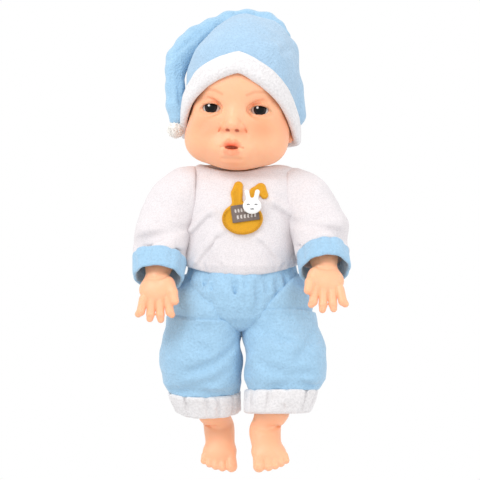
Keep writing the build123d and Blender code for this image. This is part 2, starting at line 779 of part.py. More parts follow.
neckband_radius = neck_hole_radius + 7.8
with BuildPart() as neckband:
    band_plane = Plane(origin=(0, neck_y, torso_top + 1.0))
    add(disc(band_plane, neckband_radius, 0, 7.0))
    add(disc(band_plane, neckband_radius - cloth, -1, 8.0), mode=Mode.SUBTRACT)

with BuildPart() as romper_seat:
    add(seat_form(outer_stand))
    add(torso_form(cloth_stand, -1.0, 1.0), mode=Mode.SUBTRACT)
    split(bisect_by=Plane.XY, keep=Keep.BOTTOM)

save(bodice.part, "romper_bodice")
save(neckband.part, "neckband")
save(romper_seat.part, "romper_seat")


def cloth_pad(outline, lift, thickness):
    """A flat patch cut from the space just in front of the bodice's chest."""
    with BuildPart() as pad:
        add(bodice_form(outer_stand + lift + thickness, armhole_x))
        add(bodice_form(outer_stand + lift, armhole_x + 1), mode=Mode.SUBTRACT)
        add(outline, mode=Mode.INTERSECT)
    return pad.part


patch_x = 1.0
patch_z = 38.0
with BuildPart() as patch_outline:
    with BuildSketch(Plane.XZ.offset(15)):
        with Locations((patch_x, patch_z)):
            Ellipse(14.5, 11)
        with Locations((patch_x - 4, patch_z + 17)):
            Ellipse(5.2, 12)
        with Locations(Location((patch_x + 11, patch_z + 14, 0), (0, 0, -25))):
            Ellipse(4.5, 10)
    extrude(amount=30)
with BuildPart() as tag_outline:
    with BuildSketch(Plane.XZ.offset(15)):
        with Locations(Location((patch_x + 2, patch_z + 3, 0), (0, 0, -12))):
            Rectangle(22, 9)
    extrude(amount=30)
with BuildPart() as fastener_outline:
    with Locations((0, 30, torso_top * 0.5)):
        Box(12, 40, torso_top * 0.8)

button_centre = (patch_x + 7, patch_z + 10)
chest_front = -(torso_depth / 2 * 0.9 + outer_stand)
save(cloth_pad(patch_outline.part, 0.1, 1.2), "chest_patch")
save(cloth_pad(tag_outline.part, 1.4, 0.5), "woven_tag")
save(cloth_pad(fastener_outline.part, 0.1, 1.0), "back_fastener")

rabbit_face_y = chest_front - 3.6
with BuildPart() as rabbit_button:
    with BuildSketch(Plane.XZ.offset(-rabbit_face_y)):
        with Locations(button_centre):
            Ellipse(7.2, 6.2)
        with Locations((button_centre[0] - 4.2, button_centre[1] + 7), (button_centre[0] + 4.2, button_centre[1] + 7)):
            Ellipse(2.2, 4.6)
        with Locations((button_centre[0], button_centre[1] + 3.5)):
            Circle(0.8, mode=Mode.SUBTRACT)
    extrude(amount=2.2)
with BuildPart() as button_thread:
    add(post((button_centre[0], button_centre[1] + 3.5), 0.6, rabbit_face_y - 2.4, rabbit_face_y + 0.4))
save(rabbit_button.part, "rabbit_button")
save(button_thread.part, "button_thread")
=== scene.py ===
import itertools
import json
import math
import bpy
import numpy as np
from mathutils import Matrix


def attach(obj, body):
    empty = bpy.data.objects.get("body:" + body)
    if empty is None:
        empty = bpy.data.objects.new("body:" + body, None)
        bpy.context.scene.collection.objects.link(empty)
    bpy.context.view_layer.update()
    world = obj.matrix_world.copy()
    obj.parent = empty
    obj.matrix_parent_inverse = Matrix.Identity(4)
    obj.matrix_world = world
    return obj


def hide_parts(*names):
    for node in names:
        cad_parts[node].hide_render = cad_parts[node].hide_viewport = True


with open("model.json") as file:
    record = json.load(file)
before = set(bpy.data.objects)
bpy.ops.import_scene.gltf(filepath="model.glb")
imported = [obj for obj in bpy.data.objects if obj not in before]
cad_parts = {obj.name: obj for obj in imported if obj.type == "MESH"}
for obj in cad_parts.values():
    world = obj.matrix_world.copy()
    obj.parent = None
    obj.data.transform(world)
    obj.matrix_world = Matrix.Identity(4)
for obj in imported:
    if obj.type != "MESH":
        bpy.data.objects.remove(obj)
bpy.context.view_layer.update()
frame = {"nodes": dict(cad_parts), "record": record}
import openvdb
from mathutils import Matrix, Vector

MM = 0.001

# ---------------------------------------------------------------- sizes in mm, the CAD's
HEAD_TURN = Matrix.Rotation(math.radians(3.5), 3, "Y") @ Matrix.Rotation(math.radians(-7), 3, "Z")
HEAD_PLACE = Vector((-2.5, 2.0, 72.0))
EYE = np.array((16.95, -25.9, 42.5))
SHOULDER = ((34, 0, 48), (-1, 0, 0), {"left": 5.0, "right": -4.0})
HIP = ((22, -1, -20), (-0.70711, 0, 0.70711), {"left": 10.0, "right": -8.0})
FOOT_PITCH = math.radians(43)
CAP_SIDE, CAP_BACK, CAP_TOP = 40.4, 48.9, 64.0
WALL = 1.8


# ------------------------------------------------------------------------- clay modelling
def length(v):
    return np.sqrt((v * v).sum(-1))


def blend_min(a, b, soft):
    """The nearer of two distances, with a rounded valley of width soft."""
    if soft <= 0:
        return np.minimum(a, b)
    h = np.maximum(soft - np.abs(a - b), 0) / soft
    return np.minimum(a, b) - h * h * soft * 0.25


def blend_max(a, b, soft):
    return -blend_min(-a, -b, soft)


def aim(direction):
    """A turn whose third axis points along a direction, its first one kept level."""
    z = np.array(direction, float)
    z /= np.linalg.norm(z)
    x = np.cross((0, 1, 0), z) if abs(z[1]) < 0.9 else np.cross(z, (0, 0, 1))
    x /= np.linalg.norm(x)
    return np.stack((x, np.cross(z, x), z), 1)


def egg(centre, radii, turn=None):
    centre, radii = np.array(centre, np.float32), np.array(radii, np.float32)

    def distance(at):
        p = at - centre
        if turn is not None:
            p = p @ turn.astype(np.float32)
        a = length(p / radii)
        return a * (a - 1) / np.maximum(length(p / (radii * radii)), 1e-6)

    reach = radii if turn is None else radii.max()
    return distance, centre - reach, centre + reach


def limb(a, b, ra, rb):
    a, b = np.array(a, np.float32), np.array(b, np.float32)
    run = b - a
    reach = max(ra, rb)

    def distance(at):
        t = np.clip(((at - a) @ run) / (run @ run), 0, 1)
        return length(at - a - t[..., None] * run) - (ra + t * (rb - ra))

    return distance, np.minimum(a, b) - reach, np.maximum(a, b) + reach


def chain(points, radii, soft=0.0):
    """A run of limbs through points, as one shape."""
    limbs = [limb(*pair) for pair in zip(points, points[1:], radii, radii[1:])]

    def distance(at):
        total = limbs[0][0](at)
        for one in limbs[1:]:
            total = blend_min(total, one[0](at), soft)
        return total

    return distance, np.min([s[1] for s in limbs], 0), np.max([s[2] for s in limbs], 0)


class Column:
    """An upright form of oval sections: rows of z, centre x, centre y, half width, half depth."""

    def __init__(self, rows, square=2.0):
        self.rows = np.array(sorted(rows), float)
        self.square = square

    def sections(self, z):
        return [np.interp(z, self.rows[:, 0], self.rows[:, i]).astype(np.float32) for i in range(1, 5)]

    def distance(self, at):
        cx, cy, rx, ry = self.sections(at[..., 2])
        power = self.square
        ratio = (np.abs((at[..., 0] - cx) / rx) ** power + np.abs((at[..., 1] - cy) / ry) ** power) ** (1 / power)
        side = (ratio - 1) * np.minimum(rx, ry)
        ends = np.maximum(at[..., 2] - self.rows[-1, 0], self.rows[0, 0] - at[..., 2])
        return blend_max(side, ends, 4.0)

    def shape(self):
        low = (self.rows[:, 1] - self.rows[:, 3]).min(), (self.rows[:, 2] - self.rows[:, 4]).min(), self.rows[0, 0]
        high = (self.rows[:, 1] + self.rows[:, 3]).max(), (self.rows[:, 2] + self.rows[:, 4]).max(), self.rows[-1, 0]
        return self.distance, np.array(low), np.array(high)

    def front(self, x, z):
        cx, cy, rx, ry = self.sections(z)
        inside = 1 - np.abs((x - cx) / rx) ** self.square
        return cy - ry * np.maximum(inside, 0.02) ** (1 / self.square)


def lumps(at, size, seed):
    """Soft random lumps of a size in mm, from -1 to 1."""
    lattice = np.random.default_rng(seed).uniform(-1, 1, (32, 32, 32)).astype(np.float32)
    spot = at / np.array(size, np.float32)
    cell = np.floor(spot).astype(int)
    part = spot - cell
    part = part * part * (3 - 2 * part)
    total = np.zeros(at.shape[:-1], np.float32)
    for corner in itertools.product((0, 1), repeat=3):
        weight = np.prod([part[..., i] if c else 1 - part[..., i] for i, c in enumerate(corner)], axis=0)
        total += weight * lattice[tuple((cell[..., i] + c) % 32 for i, c in enumerate(corner))]
    return total


class Clay:
    """A distance field on a grid, negative inside, that pieces are added to and cut from."""

    def __init__(self, low, high, step):
        self.low, self.step = np.array(low, np.float32), step
        self.axes = [np.arange(a, b, step, dtype=np.float32) for a, b in zip(low, high)]
        self.field = np.full([len(a) for a in self.axes], 30.0, np.float32)

    def window(self, low, high, room):
        spans = []
        for axis, a, b in zip(self.axes, low, high):
            first = max(0, int((a - room - axis[0]) / self.step))
            spans.append(slice(first, max(first + 1, int((b + room - axis[0]) / self.step) + 2)))
        return tuple(spans), np.stack(np.meshgrid(*[x[s] for x, s in zip(self.axes, spans)], indexing="ij"), -1)

    def everywhere(self):
        return np.stack(np.meshgrid(*self.axes, indexing="ij"), -1)

    def add(self, shape, soft=0.0):
        span, at = self.window(shape[1], shape[2], soft + 3 * self.step)
        self.field[span] = blend_min(self.field[span], shape[0](at), soft)
        return self

    def cut(self, shape, soft=0.0):
        span, at = self.window(shape[1], shape[2], soft + 3 * self.step)
        self.field[span] = blend_max(self.field[span], -shape[0](at), soft)
        return self

    def keep(self, distance, soft=0.0):
        """Keeps only where a distance is negative."""
        self.field = blend_max(self.field, distance(self.everywhere()).astype(np.float32), soft)
        return self

    def ruffle(self, size, amount, seed):
        near = np.abs(self.field) < 8
        at = self.everywhere()[near]
        self.field[near] += amount * lumps(at, size, seed)
        return self

    def shell(self, wall):
        self.field = np.maximum(self.field, -(self.field + wall))
        return self

    def mesh(self):
        grid = openvdb.FloatGrid()
        grid.copyFromArray(self.field)
        points, quads = grid.convertToQuads(isovalue=0.0)
        return self.low + points * self.step, quads


def half_space(point, normal):
    """Negative behind a plane."""
    point, normal = np.array(point, np.float32), np.array(normal, np.float32)
    normal /= np.linalg.norm(normal)
    return lambda at: (at - point) @ normal


# ---------------------------------------------------------------------------- materials
def linear(colour):
    """A colour on a 0 to 255 screen as linear light."""
    parts = [c / 255 for c in colour]
    return [p / 12.92 if p <= 0.04045 else ((p + 0.055) / 1.055) ** 2.4 for p in parts] + [1.0]


def surface(name, colour, rough, grain, depth, tint=0.06, patch=8.0, sheen=0.0, coat=0.0, metal=0.0,
            skin=0.0, marks=(), ridges=None, shine=0.5):
    """A finish with mottled colour and a bumped grain; marks are (attribute, colour) painted over it."""
    mat = bpy.data.materials.new(name)
    mat.use_nodes = True
    nodes, links = mat.node_tree.nodes, mat.node_tree.links
    bsdf = nodes["Principled BSDF"]
    where = nodes.new("ShaderNodeTexCoord")

    def noise(size, detail):
        node = nodes.new("ShaderNodeTexNoise")
        node.inputs["Scale"].default_value = 1000.0 / size
        node.inputs["Detail"].default_value = detail
        links.new(where.outputs["Object"], node.inputs["Vector"])
        return node

    def mix(factor, a, b):
        node = nodes.new("ShaderNodeMix")
        node.data_type = "RGBA"
        links.new(factor, node.inputs[0])
        for socket, value in ((node.inputs[6], a), (node.inputs[7], b)):
            if isinstance(value, list):
                socket.default_value = value
            else:
                links.new(value, socket)
        return node.outputs[2]

    base = linear(colour)
    dark = [c * (1 - tint * 1.6) for c in base[:3]] + [1.0]
    light = [min(1.0, c * (1 + tint)) for c in base[:3]] + [1.0]
    paint = mix(noise(patch, 3.0).outputs["Fac"], dark, light)
    fine = noise(grain, 2.0)
    if sheen > 0:
        # painted shade: base colour darkened to 0.88 where the fine grain noise is low; that noise is also the bump
        # height unless ridges replace it, so this shades the pile's hollows
        pile_shade_ramp = nodes.new("ShaderNodeMapRange")
        pile_shade_ramp.inputs["From Min"].default_value = 0.35
        pile_shade_ramp.inputs["From Max"].default_value = 0.6
        links.new(fine.outputs["Fac"], pile_shade_ramp.inputs["Value"])
        paint = mix(pile_shade_ramp.outputs["Result"], [c * 0.88 for c in base[:3]] + [1.0], paint)
        bsdf.inputs["Sheen Weight"].default_value = sheen
        bsdf.inputs["Sheen Roughness"].default_value = 0.5
    for mark, mark_colour in marks:
        attribute = nodes.new("ShaderNodeAttribute")
        attribute.attribute_name = mark
        paint = mix(attribute.outputs["Fac"], paint, linear(mark_colour))
    links.new(paint, bsdf.inputs["Base Color"])
    bump = nodes.new("ShaderNodeBump")
    bump.inputs["Distance"].default_value = depth * MM
    bump.inputs["Strength"].default_value = 1.0
    height = fine.outputs["Fac"]
    if ridges:
        wave = nodes.new("ShaderNodeTexWave")
        wave.wave_type = "RINGS" if ridges[0] == "round" else "BANDS"
        wave.inputs["Scale"].default_value = 1000.0 / ridges[1]
        wave.inputs["Distortion"].default_value = 1.5
        links.new(where.outputs["Object"], wave.inputs["Vector"])
        height = wave.outputs["Fac"]
    links.new(height, bump.inputs["Height"])
    links.new(bump.outputs["Normal"], bsdf.inputs["Normal"])
    bsdf.inputs["Roughness"].default_value = rough
    bsdf.inputs["Metallic"].default_value = metal
    bsdf.inputs["Coat Weight"].default_value = coat
    bsdf.inputs["Coat Roughness"].default_value = 0.05
    bsdf.inputs["Specular IOR Level"].default_value = shine
    if skin > 0:
        bsdf.inputs["Subsurface Weight"].default_value = skin
        bsdf.inputs["Subsurface Radius"].default_value = (1.0, 0.35, 0.2)
        bsdf.inputs["Subsurface Scale"].default_value = 0.003
    return mat


# the dark mark is painted shade: the mouth opening darkened deep inside over its red paint, and the nostril holes
# darkened
FACE_MARKS = [("blush", (232, 138, 96)), ("lips", (236, 92, 52)), ("brow", (196, 128, 88)), ("line", (60, 35, 28)),
              ("dark", (168, 52, 26))]
FINISH = {
    "vinyl_skin": surface("vinyl_skin", (250, 184, 144), 0.45, 0.5, 0.03, 0.03, 20.0, skin=0.25),
    "face": surface("face_vinyl", (250, 184, 144), 0.45, 0.5, 0.03, 0.03, 20.0, skin=0.25, marks=FACE_MARKS),
    # the eye's white spot mark is a painted highlight, standing in for a reflection on the eye
    "eye": surface("painted_eye", (214, 208, 204), 0.25, 0.8, 0.005, 0.02, 6.0, shine=0.2,
                   marks=[("ring", (26, 18, 17)), ("iris", (44, 34, 36)), ("pupil", (5, 4, 5)), ("painted_highlight", (250, 250, 250))]),
    "blue_terry": surface("blue_terry", (160, 199, 227), 0.95, 1.6, 0.9, 0.09, 7.0, sheen=0.3),
    "blue_crown": surface("blue_crown_terry", (166, 198, 224), 0.95, 1.6, 0.9, 0.09, 7.0, sheen=0.3),
    "white_velour": surface("white_velour", (226, 220, 222), 0.95, 0.9, 0.4, 0.03, 8.0, sheen=0.3),
    "white_band": surface("white_band_terry", (232, 229, 230), 0.95, 1.6, 0.8, 0.04, 7.0, sheen=0.3),
    "pompom_yarn": surface("pompom_yarn", (252, 249, 244), 0.9, 0.7, 0.2, 0.03, 3.0, sheen=0.3),
    "body_plastic": surface("body_plastic", (226, 170, 135), 0.5, 0.6, 0.03, 0.04, 12.0),
    "steel": surface("plated_steel", (150, 150, 155), 0.35, 0.4, 0.01, 0.08, 5.0, metal=1.0),
    "board_green": surface("board_green", (25, 92, 45), 0.4, 0.8, 0.02, 0.1, 4.0, coat=0.4),
    "black_plastic": surface("black_plastic", (24, 24, 26), 0.45, 0.5, 0.02, 0.1, 5.0),
    "silicone": surface("silicone", (205, 205, 198), 0.6, 0.5, 0.02, 0.05, 6.0),
    "button_plastic": surface("button_plastic", (215, 72, 52), 0.3, 0.6, 0.01, 0.05, 7.0, coat=0.3),
    "speaker_paper": surface("speaker_paper", (42, 42, 42), 0.9, 0.5, 0.05, 0.12, 3.0),
    "magnet": surface("plated_magnet", (92, 92, 96), 0.4, 0.5, 0.01, 0.08, 5.0, metal=0.8),
    "lead_red": surface("lead_red", (190, 30, 22), 0.5, 0.4, 0.01, 0.06, 3.0),
    "lead_black": surface("lead_black", (20, 20, 20), 0.5, 0.4, 0.01, 0.06, 3.0),
    "yellow_felt": surface("yellow_thread", (228, 164, 10), 0.75, 0.5, 0.2, 0.1, 2.0, sheen=0.1,
                           ridges=("across", 2.6)),
    "grey_tape": surface("woven_tape", (118, 104, 98), 0.85, 0.45, 0.2, 0.1, 2.0, sheen=0.1,
                         marks=[("stitch", (214, 206, 200))]),
    "button_white": surface("button_white", (238, 238, 238), 0.25, 0.6, 0.01, 0.02, 4.0, coat=0.6),
    "dark_thread": surface("dark_thread", (40, 30, 30), 0.8, 0.3, 0.1, 0.1, 2.0),
    "white_thread": surface("white_thread", (214, 210, 212), 0.85, 0.3, 0.1, 0.05, 2.0),
}

FINISH.update(eye_white=FINISH["eye"], iris=FINISH["eye"], eye_lens=FINISH["eye"])
for row in frame["record"]["subparts"]:
    node = frame["nodes"][row["node"]]
    node.data.materials.clear()
    node.data.materials.append(FINISH[row["material_slot"]])


# ------------------------------------------------------------------------ making pieces
def piece(name, made, finish, body, stands_for=(), marks=None):
    points, quads = made
    mesh = bpy.data.meshes.new(name)
    mesh.from_pydata((np.asarray(points, float) * MM).tolist(), [], np.asarray(quads).tolist())
    mesh.shade_smooth()
    for mark, values in (marks or {}).items():
        mesh.attributes.new(mark, "FLOAT", "POINT").data.foreach_set("value", values.astype(np.float32))
    obj = bpy.data.objects.new(name, mesh)
    bpy.context.scene.collection.objects.link(obj)
    obj.data.materials.append(FINISH[finish])
    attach(obj, body)
    if stands_for:
        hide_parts(*stands_for)
    return obj


def on_head(made):
    points, quads = made
    return points @ np.array(HEAD_TURN).T + np.array(HEAD_PLACE), quads


def hinged(made, hinge, side):
    """A left limb's mesh swung on its hinge, and mirrored for the right."""
    points, quads = made
    centre, axis, swing = hinge
    turn = np.array(Matrix.Rotation(math.radians(swing[side]), 3, Vector(axis)))
    points = (points - np.array(centre)) @ turn.T + np.array(centre)
    if side == "right":
        return points * (-1, 1, 1), quads[:, ::-1]
    return points, quads


def join(parts):
    """Several meshes as one."""
    points, quads, count = [], [], 0
    for p, q in parts:
        points.append(p)
        quads.append(np.asarray(q) + count)
        count += len(p)
    return np.concatenate(points), np.concatenate(quads)


def thread(path, radius, around=6):
    """A closed round thread along a path of points."""
    path = np.array(path, float)
    run = np.gradient(path, axis=0)
    run /= np.linalg.norm(run, axis=1)[:, None]
    up = np.where(np.abs(run[:, 1:2]) > 0.9, (0.0, 0.0, 1.0), (0.0, 1.0, 0.0))
    side = np.cross(run, up)
    side /= np.linalg.norm(side, axis=1)[:, None]
    over = np.cross(side, run)
    size = np.full(len(path), radius)
    size[0] = size[-1] = radius * 0.3
    angles = np.arange(around) * 2 * math.pi / around
    rings = [path + size[:, None] * (side * math.cos(a) + over * math.sin(a)) for a in angles]
    points = np.stack(rings, 1).reshape(-1, 3)
    quads = []
    for i in range(len(path) - 1):
        for j in range(around):
            k = (j + 1) % around
            quads.append((i * around + j, i * around + k, (i + 1) * around + k, (i + 1) * around + j))
    last = (len(path) - 1) * around
    for base, order in ((0, -1), (last, 1)):
        ring = [base + j for j in range(around)][::order]
        quads += [(ring[0], ring[1], ring[2], ring[3]), (ring[3], ring[4], ring[5], ring[0])]
    return points, np.array(quads)


def fade(distance, width):
    """One where a distance is below zero, falling to zero over a width."""
    t = np.clip(1 - distance / width, 0, 1)
    return t * t * (3 - 2 * t)


# --------------------------------------------------------------------------------- head
def make_head():
    clay = Clay((-43, -50, -3), (43, 52, 107), 0.72)
    clay.add(egg((0, 3, 62), (37, 45.5, 43)))
    clay.add(egg((0, -8, 30.5), (36.3, 31.9, 27.4)), 10)
    for s in (-1, 1):
        clay.add(egg((s * 19.5, -20, 20.5), (16.5, 17.5, 15)), 8)
        clay.add(egg((s * 17, -22, 43), (12, 9, 8)), 6)
    clay.add(egg((0, -23, 10.5), (18, 15.5, 9.8)), 6)
    clay.add(egg((0, -33.5, 17), (12, 8, 9)), 6)
    clay.add(egg((0, -30, 56), (20, 12, 12)), 8)
    for s in (-1, 1):
        socket = egg((s * EYE[0], EYE[1] - 9.0, EYE[2]), (9.0, 3.6, 5.2))
        clay.cut(socket, 5)
        clay.add(egg((s * EYE[0], EYE[1] - 0.3, EYE[2]), (9.3, 9.0, 8.6)), 1.6)
        lid = chain([(s * (EYE[0] - 7.6), -33.1, 41.3), (s * (EYE[0] - 3.5), -35.0, 44.8), (s * (EYE[0] + 1), -35.0, 45.6),
                     (s * (EYE[0] + 5.0), -33.6, 44.2), (s * (EYE[0] + 8.2), -31.2, 40.9)], [0.5, 0.9, 1.0, 0.9, 0.5], 0.5)
        clay.add(lid, 1.0)
        crease = chain([(s * (EYE[0] - 7.6), -34.0, 44.0), (s * (EYE[0] - 3), -34.9, 48.2), (s * (EYE[0] + 2), -34.6, 48.9),
                        (s * (EYE[0] + 7.5), -32.0, 46.0)], [0.3, 0.5, 0.5, 0.3])
        clay.cut(crease, 1.4)
        opening = egg((s * EYE[0], EYE[1] - 9, EYE[2] - 0.4), (6.9, 6.0, 2.9))
        clay.cut(opening, 0.6)
        clay.cut(egg((s * EYE[0], EYE[1], EYE[2]), (8.15, 8.15, 8.15)), 0.3)
    clay.add(limb((0, -36.5, 44), (0, -41.0, 33), 2.6, 3.4), 6)
    clay.add(egg((0, -42.3, 30.4), (4.6, 4.2, 4.0)), 3)
    for s in (-1, 1):
        clay.add(egg((s * 5.4, -39.2, 28.9), (3.0, 3.6, 2.9)), 2)
        clay.cut(egg((s * 3.2, -42.4, 26.5), (1.5, 2.0, 0.9)), 0.8)
        clay.cut(chain([(s * 8.4, -38.2, 28), (s * 10.5, -37.0, 24), (s * 12.2, -36.0, 19)], [0.2, 0.3, 0.1]), 2.2)
        clay.add(egg((s * 11.5, -34.5, 15.5), (4, 4, 4.5)), 5)
    upper = chain([(-8.6, -37.4, 15.4), (-4.8, -40.2, 17.2), (-2.2, -41.4, 18.3), (0, -41.3, 17.5), (2.2, -41.4, 18.3),
                   (4.8, -40.2, 17.2), (8.6, -37.4, 15.4)], [0.4, 1.1, 1.5, 1.4, 1.5, 1.1, 0.4], 0.8)
    lower = chain([(-7.4, -37.6, 14.6), (-3.8, -40.0, 12.2), (0, -40.9, 11.4), (3.8, -40.0, 12.2), (7.4, -37.6, 14.6)],
                  [0.4, 1.2, 1.6, 1.2, 0.4], 0.8)
    clay.add(upper, 2.6)
    clay.add(lower, 2.6)
    clay.cut(egg((0, -42.2, 14.9), (4.8, 4.6, 1.25)), 0.8)
    clay.cut(limb((-8.8, -39.0, 15.0), (-5.0, -41.6, 14.9), 0.3, 0.5), 1.0)
    clay.cut(limb((8.8, -39.0, 15.0), (5.0, -41.6, 14.9), 0.3, 0.5), 1.0)
    clay.cut(limb((0, -42.4, 25.5), (0, -43.2, 21), 0.5, 0.9), 1.8)
    clay.cut(chain([(-6, -37.0, 7.0), (0, -38.6, 6.6), (6, -37.0, 7.0)], [0.5, 1.0, 0.5]), 3)
    for s in (-1, 1):
        clay.add(egg((s * 36.6, 4.5, 37), (3.4, 7.6, 11)), 2)
        clay.add(egg((s * 35.8, 1.5, 28), (3.0, 4.6, 4.4)), 2)
        clay.cut(egg((s * 40.6, 2.5, 37.5), (2.8, 4.0, 6.6)), 1.5)
        clay.cut(egg((s * 37.5, -3.5, 36), (2.0, 2.0, 4.2)), 2)
    clay.cut(limb((0, 0, -4), (0, 0, 6), 14.3, 14.3), 1.0)
    points, quads = clay.mesh()
    x, y, z = points.T
    front = y < -10
    blush = np.zeros(len(points))
    for s in (-1, 1):
        blush += 0.62 * np.exp(-((x - s * 20) / 11) ** 2 - ((z - 29) / 9) ** 2)
        blush += 0.35 * np.exp(-((x - s * 37) / 5) ** 2 - ((z - 36) / 13) ** 2)
        blush += 0.25 * np.exp(-((x - s * 7) / 3) ** 2 - ((z - 27) / 4) ** 2)
    blush += 0.35 * np.exp(-(x / 8) ** 2 - ((z - 3.5) / 4) ** 2)
    brow = np.zeros(len(points))
    line = np.zeros(len(points))
    for s in (-1, 1):
        flat = points * (1, 0, 1)
        arch = chain([(s * 8.5, 0, 51.0), (s * 14, 0, 53.8), (s * 20, 0, 54.4), (s * 26, 0, 51.8)], [0.2, 0.45, 0.4, 0.15])
        brow += 0.4 * fade(arch[0](flat), 1.1) * front
        lash = chain([(s * (EYE[0] - 6.8), 0, 42.0), (s * (EYE[0] - 3.5), 0, 44.7), (s * (EYE[0] + 1), 0, 45.6),
                      (s * (EYE[0] + 5.0), 0, 44.4), (s * (EYE[0] + 7.6), 0, 42.0)], [0.25, 0.5, 0.6, 0.6, 0.5])
        line += fade(lash[0](flat), 0.5) * (y < -26) * 0.35
        under = chain([(s * (EYE[0] - 6), 0, 40.4), (s * EYE[0], 0, 38.6), (s * (EYE[0] + 6), 0, 40.2)], [0.1, 0.2, 0.1])
        line += 0.2 * fade(under[0](flat), 0.7) * (y < -26)
    near_mouth = np.exp(-(x / 5.8) ** 4 - ((z - 15.4) / 3.4) ** 2)
    lips = np.maximum(fade(upper[0](points) - 0.3, 1.0), fade(lower[0](points) - 0.3, 1.0)) * (0.16 + 0.8 * near_mouth)
    # painted shade: the mouth opening darkened deep inside, over the mouth's own red paint, and the nostril holes
    # darkened
    dark = fade(egg((0, -40.5, 14.8), (4.4, 3.2, 1.1))[0](points), 0.6) * (y > -41.0) * 0.7
    for s in (-1, 1):
        dark = np.maximum(dark, 0.8 * fade(egg((s * 3.2, -41.5, 26.6), (1.2, 2.4, 0.8))[0](points), 0.6))
    marks = {"blush": blush, "brow": brow, "line": line, "lips": lips, "dark": dark}
    marks = {k: np.clip(v, 0, 1) for k, v in marks.items()}
    piece("head", on_head((points, quads)), "face", "head", ["head_shell"], marks)


def make_eyes():
    """Painted eyes: a ball each, its rings by the angle from where it looks, and a painted highlight spot."""
    count = 72
    lat = np.linspace(0, math.pi * 0.55, count)
    lon = np.linspace(0, 2 * math.pi, count, endpoint=False)
    for side, s in (("left", 1), ("right", -1)):
        r = 8.0
        la, lo = np.meshgrid(lat, lon, indexing="ij")
        points = np.stack((np.sin(la) * np.cos(lo), -np.cos(la), np.sin(la) * np.sin(lo)), -1).reshape(-1, 3) * r
        index = np.arange(count * count).reshape(count, count)
        nxt = np.roll(index, -1, 1)
        quads = np.stack((index[:-1], nxt[:-1], nxt[1:], index[1:]), -1).reshape(-1, 4)
        points = np.concatenate((points, [[0, r * 0.1, 0]]))
        rim = [(index[-1, j], nxt[-1, j], nxt[-1, (j + 1) % count], len(points) - 1) for j in range(0, count, 2)]
        quads = np.concatenate((quads, rim))
        across = np.hypot(points[:, 0] - 0.2 * s, points[:, 2] - 0.3)
        before = points[:, 1] < 0
        marks = {
            "ring": fade(across - 4.3, 0.5) * before,
            "iris": fade(across - 3.7, 0.8) * before * 0.45,
            "pupil": fade(across - 2.6, 0.5) * before,
            # painted highlight: a white spot standing in for the lamp's reflection on the eye
            "painted_highlight": fade(np.hypot(points[:, 0] + 1.6, points[:, 2] - 1.5) - 0.6, 0.4) * before,
        }
        made = on_head((points + EYE * (s, 1, 1), quads))
        piece(f"{side}_eye", made, "eye", "head",
              [f"{side}_eye_white", f"{side}_iris", f"{side}_eye_lens"], marks)


# ---------------------------------------------------------------------------------- cap
def cap_form(at):
    """Distance from the cap's outer form, straight below and round above."""
    low = at * np.array((1, 1, 0), np.float32) + np.array((0, 0, CAP_TOP), np.float32)
    use = np.where((at[..., 2] < CAP_TOP)[..., None], low, at)
    return egg((0, 3, CAP_TOP), (CAP_SIDE, CAP_BACK, 47.5))[0](use)


def above_opening(at):
    """Height over the cap's opening, a slant from brow to nape."""
    slant = half_space((0, -41, 57.8), (0, math.sin(math.radians(41)), math.cos(math.radians(41))))
    dip = 3.4 * np.exp(-np.abs((at[..., 0] - 2) / 11) ** 1.4) * (at[..., 1] < 0)
    return blend_min(slant(at) - dip, at[..., 2] - 24, 6)


